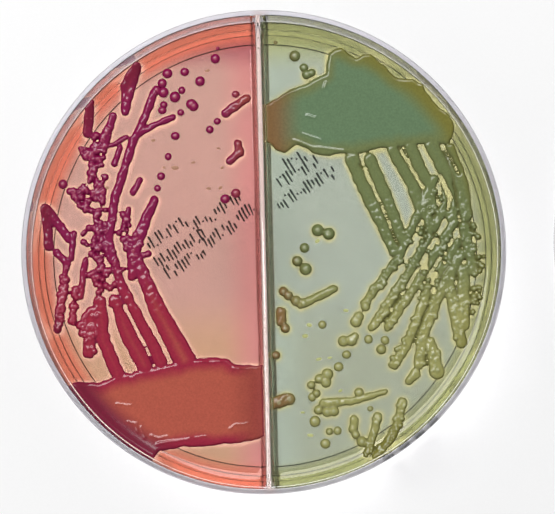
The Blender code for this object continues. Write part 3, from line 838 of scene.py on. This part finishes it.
# The crown colour is a painted highlight and the edge colour is painted shade.
RED_FILM = {
    "streak": "800C44", "fan": "931C37", "lawn": "AB5140", "wall": "6F112D", "beside": "914035",
    "edge": "700839", "crown": "AA5063",
}
red_low, red_high = (-42.6 * MM, -42 * MM), (-0.8 * MM, 42 * MM)
red_film = film("wet_red_growth", RED_FILM, fan_from=3, fan_to=-10)
lay_growth("red", red_low, red_high, red_shapes, red_film)

GREEN_LAWN = (
    (0.5, 27.0), (2.5, 28.5), (5, 30), (7, 30.8), (10, 32), (12, 33), (12.4, 37.1), (15.1, 37.4),
    (17.5, 35.9), (18.8, 36.3), (20.5, 36.2), (23.2, 34.5), (24.7, 32), (25.5, 31.6), (28, 31.5),
    (30, 30.3), (32, 27), (34.2, 24.8), (35.3, 23.5), (35.3, 20.5), (34.1, 19.6), (15.2, 17.9),
    (12.4, 17.8), (9.6, 18.4), (6.6, 19.9), (4.7, 18.6), (3, 19.1), (0.5, 20.6),
)
GREEN_FAN = (
    ((16.6, 17, 1.4), (19.4, 10, 1.3), (21.7, 5, 1.2), (24, 0, 1.2)),
    ((19.8, 17, 1.2), (22.6, 10, 1.2), (24.5, 5, 1.1), (25.5, 1, 0.9)),
    ((24.4, 18.5, 1.4), (27.6, 12, 1.2), (28.8, 8, 1.2)),
    ((27.4, 19, 1.2), (30.3, 12, 1.2), (31, 8, 1.0)),
    ((31.3, 19, 1.5), (33.7, 14, 1.2), (34.5, 6, 1.2)),
    ((34.6, 18.5, 1.0), (36.6, 12, 1.3), (37.2, 6, 1.2)),
)
GREEN_GAPS = (
    ((18.2, 16, 0.15), (21.3, 9.5, 0.2), (24.6, 1, 0.15)),
    ((22.0, 17.5, 1.0), (26.0, 8.2, 0.9), (26.0, 4.5, 0.3)),
    ((25.2, 18.9, 0.2), (29.5, 11.4, 0.3)),
    ((29.5, 19, 0.3), (31.3, 15.5, 0.35)),
    ((32.7, 13.6, 0.3), (34.4, 9.5, 0.45), (33.9, 7.3, 0.2)),
    ((33.5, 19, 0.15), (36, 14, 0.2)),
    ((29.5, 2.6, 0.5), (29.1, 1.4, 0.3)),
    ((31.5, 2.6, 0.5), (31.9, 1.2, 0.3)),
    ((29.5, -1.5, 0.5), (29.3, -4.0, 0.7)),
    ((33, -0.7, 0.6), (33.0, -2.5, 0.3)),
    ((31, -4.8, 0.8), (30.8, -7.8, 0.5)),
)
GREEN_STROKES = (
    ((31.5, 13, 0.9), (26, 1.5, 0.9), (24.5, -1.5, 0.8), (18.2, -9.5, 0.85)),
    ((33.5, 8, 0.9), (26.5, -4, 0.9), (19.5, -14, 0.9)),
    ((35, 5, 0.9), (28, -6, 0.9), (22.3, -14, 0.8)),
    ((35.5, 1, 0.9), (30, -7, 0.9), (25.5, -18, 0.9), (23.2, -20.9, 0.95)),
    ((36, -1, 1.0), (31.5, -9, 1.1), (28.6, -16, 1.0), (27.8, -21, 1.0)),
    ((27.1, -22.7, 1.0), (26, -24, 0.8)),
    ((33.5, -5, 1.0), (34.6, -11, 1.2), (35.7, -17.2, 1.1)),
    ((36.5, -4, 1.2), (36.2, -14, 1.2)),
    ((30, -17, 1.0), (31.1, -22.5, 1.4)),
    ((24.6, -27.9, 0.9), (23.9, -31, 0.8), (22.5, -34, 0.9), (19.4, -37.6, 0.8)),
    ((20.1, -30.3, 0.8), (18.2, -36.5, 0.75)),
    ((36.8, 4, 1.0), (38.2, -4, 1.0)),
    ((6.5, -9.6, 0.8), (9.5, -8.2, 0.8), (12.5, -6.8, 0.8)),
    ((2.8, -10.8, 1.0), (2.8, -12.4, 1.0)),
    ((21.5, -25.9, 0.55), (15.2, -27.5, 0.75), (10.2, -27.7, 0.9)),
    ((15.7, -30.9, 0.9), (15.4, -32.6, 0.8)),
    ((0.5, -27.6, 1.0), (3.4, -26.8, 1.2)),
    ((29.5, 7.5, 0.9), (30.8, 4.0, 1.0)),
)
GREEN_BEADED = (
    ((33, 10, 2.0), (27, 2, 2.4), (26.5, -3, 2.0)),
    ((34, 4, 2.4), (32, -3, 3.0), (29, -10, 2.0)),
    ((37, 8, 1.6), (38.5, -2, 2.0), (37.5, -12, 1.8)),
    ((24.5, -1.5, 0.9), (18.2, -9.5, 0.8)),
    ((26.5, -4, 0.9), (19.5, -14, 0.8)),
    ((28, -6, 0.8), (22.3, -14, 0.8)),
    ((28, -12, 0.8), (23.2, -20.9, 0.9)),
    ((31.5, -9, 1.0), (28.6, -16, 1.0), (27.8, -21, 1.0)),
    ((33.5, -5, 1.0), (35.7, -17.5, 1.0)),
    ((30, -18, 1.3), (31.1, -22.7, 1.4)),
    ((24.6, -27.9, 0.8), (23.9, -31, 0.8), (22.5, -34, 0.8), (19, -38.5, 0.8)),
    ((20.1, -30.3, 0.7), (17.7, -38.1, 0.7)),
)
GREEN_DOTS = (
    (8.6, 32.9, 0.9), (9.5, 33.2, 0.8), (6, -1.5, 1.0), (7.5, -3, 1.15), (9.9, 4.1, 1.15),
    (11.9, 3.4, 1.15), (3.3, -7, 0.9), (4.2, -7.8, 0.9), (5.6, -8.8, 1.0), (7, -9.2, 0.9),
    (3.5, -13.8, 0.9), (16.5, -12.9, 1.1), (17, -12, 1.0), (18.3, -10.2, 0.9), (14.1, -16.4, 1.05),
    (15.6, -16.3, 1.1), (16.2, -15.6, 0.8), (21, -18.1, 0.95), (11, -22.4, 1.1), (9.5, -23.2, 0.9),
    (8, -24.3, 0.8), (10.7, -23.9, 1.0), (8.9, -25.9, 0.8), (16.7, -25.9, 0.9), (12.7, -27.5, 0.8),
    (10.8, -29.3, 1.0), (9.2, -28.9, 0.9), (12, -29.2, 1.0), (11.1, -32.9, 0.7), (17, -34.9, 1.0),
    (15.9, -33.6, 0.8), (2, -27.4, 1.1), (1.7, -18.7, 0.8),
)
GREEN_FOLDS = (
    ((6, 20.8, 0.25), (9.5, 19.3, 0.3), (15, 18.7, 0.25)),
    ((7.5, 22, 0.2), (11, 20.6, 0.2)),
    ((2.4, 28, 0.22), (4.5, 29.2, 0.25), (6.5, 29.9, 0.22)),
    ((11.8, 30.2, 0.35), (12.1, 31.2, 0.35)),
    ((8.4, 25.2, 0.3), (10, 24.8, 0.3)),
)
green_draw = random.Random(23)
green_shapes = {
    "lawns": [GREEN_LAWN],
    "strokes": GREEN_FAN + GREEN_STROKES,
    "gaps": GREEN_GAPS,
    "beads": [*GREEN_DOTS, *beads_along(GREEN_BEADED, green_draw, 0.4, 0.4, 0.65)],
    "folds": GREEN_FOLDS,
    "smooth_from": (6, 12),
}
# The crown colour is a painted highlight and the edge colour is painted shade.
GREEN_FILM = {
    "streak": "949359", "fan": "697346", "lawn": "5F7857", "wall": "726F2F", "beside": "775634",
    "edge": "616036", "crown": "A6AC88",
}
green_low, green_high = (0.8 * MM, -42 * MM), (42.6 * MM, 42 * MM)
green_film = film("wet_green_growth", GREEN_FILM, fan_from=-13, fan_to=0)
lay_growth("green", green_low, green_high, green_shapes, green_film)


# ---------------------------------------------------------------------------------------
# Single colonies: where the loop had run thin, single cells grew into round domes.

SMALL_RED = (
    (-18.1, 32, 0.85), (-19.2, 30.7, 0.9), (-17.9, 30.3, 1.0), (-14.5, 30.6, 0.7), (-18.2, 27, 0.8),
    (-12.4, 27.6, 1.0), (-4.6, 29.6, 0.7), (-7.0, 10.3, 0.9), (-5.0, 11.3, 0.9), (-36.8, 13.8, 0.9),
    (-7.7, 38.2, 0.35),
)
SMALL_GREEN = ((21.7, -16.4, 0.85), (3.0, 39.0, 0.35))
DOME_SQUASH = 0.62


def colony(bm, x, y, radius, draw):
    made = bmesh.ops.create_uvsphere(bm, u_segments=18, v_segments=10, radius=radius)["verts"]
    layer = bm.verts.layers.float["depth"]
    crown = bm.verts.layers.float["bead"]
    level = float(bed_height(x, y)) - FILM_SINK
    for vert in made:
        vert[layer] = (1 - Vector(vert.co.xy).length / radius) * radius / MM
        # The crown share paints a highlight on the top of the dome.
        vert[crown] = max(vert.co.z / radius, 0) ** 3
    flatten = Matrix.Diagonal((draw.uniform(0.94, 1.06), draw.uniform(0.94, 1.06), DOME_SQUASH, 1))
    bmesh.ops.transform(bm, matrix=Matrix.Translation((x, y, level)) @ flatten, verts=made)


def colonies(nodes, small, seed):
    bm = bmesh.new()
    bm.verts.layers.float.new("depth")
    bm.verts.layers.float.new("bead")
    draw = random.Random(seed)
    for node in nodes:
        low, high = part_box(node)
        middle = (low + high) / 2
        colony(bm, middle.x, middle.y, (high.x - low.x) / 2, draw)
    for x, y, radius in small:
        colony(bm, x * MM, y * MM, radius * MM, draw)
    return bm


for colour, small, seed, wet in (
    ("red", SMALL_RED, 3, red_film), ("green", SMALL_GREEN, 5, green_film),
):
    nodes = sorted(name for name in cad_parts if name.startswith(colour + "_colony"))
    domes = as_object(colonies(nodes, small, seed), colour + "_colonies", wet)
    domes.visible_shadow = False
    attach(domes, "dish")
    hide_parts(*nodes)


# ---------------------------------------------------------------------------------------
# Specks: thin flat flakes of dried growth, tan on the red bed and yellow on the green one,
# that never grew into domes.

RED_SPECKS = (
    (-16.1, 16.3, 0.7), (-18.1, 16.4, 0.3), (-20, 21.5, 0.4), (-12.7, 17.2, 0.4), (-9.7, 34.1, 0.5),
    (-8, 19.7, 0.35), (-7.4, 16.1, 0.35), (-10, 12.3, 0.45), (-7.8, 12.4, 0.4), (-28.9, 12.9, 0.5),
)
GREEN_SPECKS = (
    (14.7, -10.8, 0.5), (7.9, -13.3, 0.5), (7.1, -15.3, 0.55), (9.5, -19.6, 0.55), (11.5, -19.4, 0.45),
    (7.6, -33.5, 0.6), (13.3, -25.5, 0.4), (6.3, -29.3, 0.4), (9.8, 2.1, 0.5),
)
SPECK_THICKNESS = 0.08 * MM


def thin_flakes(specks, draw):
    bm = bmesh.new()
    for x, y, radius in specks:
        made = bmesh.ops.create_uvsphere(bm, u_segments=14, v_segments=6, radius=1.0)["verts"]
        slim = radius * draw.uniform(0.45, 0.8)
        squash = Matrix.Diagonal((radius * MM, slim * MM, SPECK_THICKNESS, 1))
        turn = Matrix.Rotation(draw.uniform(-0.2, 0.6), 4, "Z")
        level = float(bed_height(x * MM, y * MM))
        place = Matrix.Translation((x * MM, y * MM, level)) @ turn @ squash
        bmesh.ops.transform(bm, matrix=place, verts=made)
    return bm


def dried_growth(name, pale, dark):
    """Dried growth: dull, thin and uneven, with a grain about a fifth of a millimetre across."""
    material, tree = new_material(name)
    spot = add_node(tree, "ShaderNodeTexCoord").outputs["Object"]
    grain = add_node(tree, "ShaderNodeTexNoise", {"Scale": 5000.0, "Detail": 2.0}, {"Vector": spot})
    colour = add_node(
        tree, "ShaderNodeMix", {"data_type": "RGBA", 6: linear(pale), 7: linear(dark)},
        {0: grain.outputs["Fac"]},
    )
    shader = add_node(
        tree, "ShaderNodeBsdfPrincipled", {"Roughness": 0.55}, {"Base Color": colour.outputs[2]}
    )
    add_node(tree, "ShaderNodeOutputMaterial", None, {"Surface": shader.outputs["BSDF"]})
    return material


for colour, specks, tones in (
    ("red", RED_SPECKS, ("B88C6C", "8E5F48")), ("green", GREEN_SPECKS, ("BEC080", "A8AC68")),
):
    flakes = as_object(
        thin_flakes(specks, random.Random(7)), colour + "_specks",
        dried_growth("dried_" + colour + "_growth", *tones),
    )
    flakes.visible_shadow = False
    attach(flakes, "dish")


# ---------------------------------------------------------------------------------------
# Lid: the same clear polystyrene, upturned beside the dish on its stacking ring. Three
# nubs inside it hold it a hair above the rim so that the dish can breathe.

LID_LOW, LID_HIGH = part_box("lid")
LID_RADIUS = (LID_HIGH.x - LID_LOW.x) / 2
LID_CENTRE = (LID_HIGH.x + LID_LOW.x) / 2
LID_WALL = 0.9 * MM
PLATE_FOOT, PLATE_TOP = 0.4 * MM, 1.4 * MM
RING_IN, RING_OUT = 39.5 * MM, 40.9 * MM
NUB_TOP, NUB_LONG, NUB_WIDE = 1.9 * MM, 2.4 * MM, 1.4 * MM
NUB_RADIUS = DISH_RADIUS - WALL / 2


def moulded_lid():
    """Top plate, skirt and stacking ring, upturned. The rings at 20 and 40 mm only keep the
    plate's faces short."""
    top = LID_HIGH.z
    return turned(
        [
            (0, PLATE_TOP, False), (20 * MM, PLATE_TOP, False), (40 * MM, PLATE_TOP, False),
            (LID_RADIUS - LID_WALL, PLATE_TOP, True), (LID_RADIUS - LID_WALL, top, True),
            (LID_RADIUS, top, True), (LID_RADIUS, PLATE_FOOT, True),
            (RING_OUT, PLATE_FOOT, True), (RING_OUT, 0, True),
            (RING_IN, 0, True), (RING_IN, PLATE_FOOT, True),
            (20 * MM, PLATE_FOOT, False), (0, PLATE_FOOT, False),
        ],
        EDGE_ROUND,
    )


def vent_nub(angle):
    bm = bmesh.new()
    bmesh.ops.create_cube(bm, size=1.0)
    low = (PLATE_FOOT + PLATE_TOP) / 2
    bmesh.ops.scale(bm, vec=(NUB_WIDE, NUB_LONG, NUB_TOP - low), verts=bm.verts)
    bmesh.ops.translate(bm, vec=(NUB_RADIUS, 0, (NUB_TOP + low) / 2), verts=bm.verts)
    upper = [edge for edge in bm.edges if all(vert.co.z > PLATE_TOP for vert in edge.verts)]
    bmesh.ops.bevel(
        bm, geom=upper, offset=0.15 * MM, segments=3, profile=0.5, affect="EDGES", material=-1
    )
    bmesh.ops.rotate(bm, cent=(0, 0, 0), matrix=Matrix.Rotation(angle, 3, "Z"), verts=bm.verts)
    return bm


lid_styrene = clear_styrene(
    "crystal_polystyrene_lid_moulded", LID_CENTRE, LID_RADIUS, LID_HIGH.z, STYRENE_TINT
)
nubs = [
    as_object(vent_nub(math.radians(30) + third * math.tau / 3), "vent_nub", lid_styrene)
    for third in range(3)
]
lid = fused(as_object(moulded_lid(), "clear_lid", lid_styrene), nubs)
lid.data.transform(Matrix.Translation((LID_CENTRE, 0, 0)))
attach(lid, "lid")
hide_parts("lid")


# ---------------------------------------------------------------------------------------
# Bench: a plain sheet of opal acrylic under everything, faintly lit from below as on a
# light table, so that the jelly glows and little shadow falls.

BENCH_HALF = 2.5
BENCH_GLOW = 0.2


def opal_sheet():
    """Opal acrylic, cast: matt white, with a faint grain about half a millimetre across."""
    material, tree = new_material("opal_acrylic_cast")
    spot = add_node(tree, "ShaderNodeTexCoord").outputs["Object"]
    grain = add_node(tree, "ShaderNodeTexNoise", {"Scale": 2000.0, "Detail": 3.0}, {"Vector": spot})
    colour = add_node(
        tree, "ShaderNodeMix", {"data_type": "RGBA", 6: linear("D8D8D8"), 7: linear("DCDCDC")},
        {0: grain.outputs["Fac"]},
    )
    shader = add_node(
        tree, "ShaderNodeBsdfPrincipled",
        {
            "Roughness": 0.9, "Specular IOR Level": 0.2,
            "Emission Color": linear("FFFFFF"), "Emission Strength": BENCH_GLOW,
        },
        {"Base Color": colour.outputs[2]},
    )
    add_node(tree, "ShaderNodeOutputMaterial", None, {"Surface": shader.outputs["BSDF"]})
    return material


bm = bmesh.new()
bmesh.ops.create_grid(bm, x_segments=8, y_segments=8, size=BENCH_HALF)
bmesh.ops.translate(bm, verts=bm.verts, vec=(0, 0, -2 * INK_THICKNESS))
bench = as_object(bm, "bench", opal_sheet())


# ---------------------------------------------------------------------------------------
# Light: a pale even studio dome, and a long soft box high up behind the dish.

def studio_dome():
    world = bpy.data.worlds.new("studio_dome")
    bpy.context.scene.world = world
    world.use_nodes = True
    tree = world.node_tree
    tree.nodes.clear()
    spot = add_node(tree, "ShaderNodeTexCoord").outputs["Generated"]
    axes = add_node(tree, "ShaderNodeSeparateXYZ", None, {0: spot})
    # A little brighter overhead than at the horizon.
    rise = add_node(
        tree, "ShaderNodeMapRange",
        {
            "interpolation_type": "SMOOTHSTEP",
            "From Min": -0.1, "From Max": 0.9, "To Min": 0.45, "To Max": 0.46,
        },
        {"Value": axes.outputs[2]},
    )
    back = add_node(tree, "ShaderNodeBackground", None, {"Strength": rise.outputs["Result"]})
    add_node(tree, "ShaderNodeOutputWorld", None, {"Surface": back.outputs[0]})


def soft_box(name, spot, aim, size, watts):
    data = bpy.data.lights.new(name, "AREA")
    data.shape = "RECTANGLE"
    data.size, data.size_y = size
    data.energy = watts
    light = bpy.data.objects.new(name, data)
    light.location = spot
    light.rotation_euler = (Vector(aim) - Vector(spot)).to_track_quat("-Z", "Y").to_euler()
    bpy.context.scene.collection.objects.link(light)


studio_dome()
soft_box(
    "long_soft_box", spot=(-0.2, 0.37, 0.8), aim=(-0.05, 0, 0), size=(0.8, 0.3), watts=7.4
)


# ---------------------------------------------------------------------------------------
# Camera: straight above the dish on a copy stand, a touch off its axis.

CAMERA_DISTANCE = 0.6
CAMERA_LENS = 214.7
CAMERA_AIM = Vector((2.546 * MM, -1.151 * MM, DISH_HEIGHT))
CAMERA_BACK = Vector((math.tan(math.radians(1.1)), -math.tan(math.radians(3.5)), 1)).normalized()
CAMERA_ROLL = math.radians(1.41)

up = Vector((math.sin(CAMERA_ROLL), math.cos(CAMERA_ROLL), 0))
right = up.cross(CAMERA_BACK).normalized()
camera_data = bpy.data.cameras.new("copy_stand_camera")
camera_data.lens = CAMERA_LENS
camera_data.clip_start = 0.01
camera_data.clip_end = 20
camera = bpy.data.objects.new("copy_stand_camera", camera_data)
turn = Matrix((right, CAMERA_BACK.cross(right), CAMERA_BACK)).transposed()
camera.matrix_world = Matrix.Translation(CAMERA_AIM + CAMERA_BACK * CAMERA_DISTANCE) @ turn.to_4x4()
bpy.context.scene.collection.objects.link(camera)
bpy.context.scene.camera = camera
bpy.context.scene.view_settings.view_transform = "Standard"
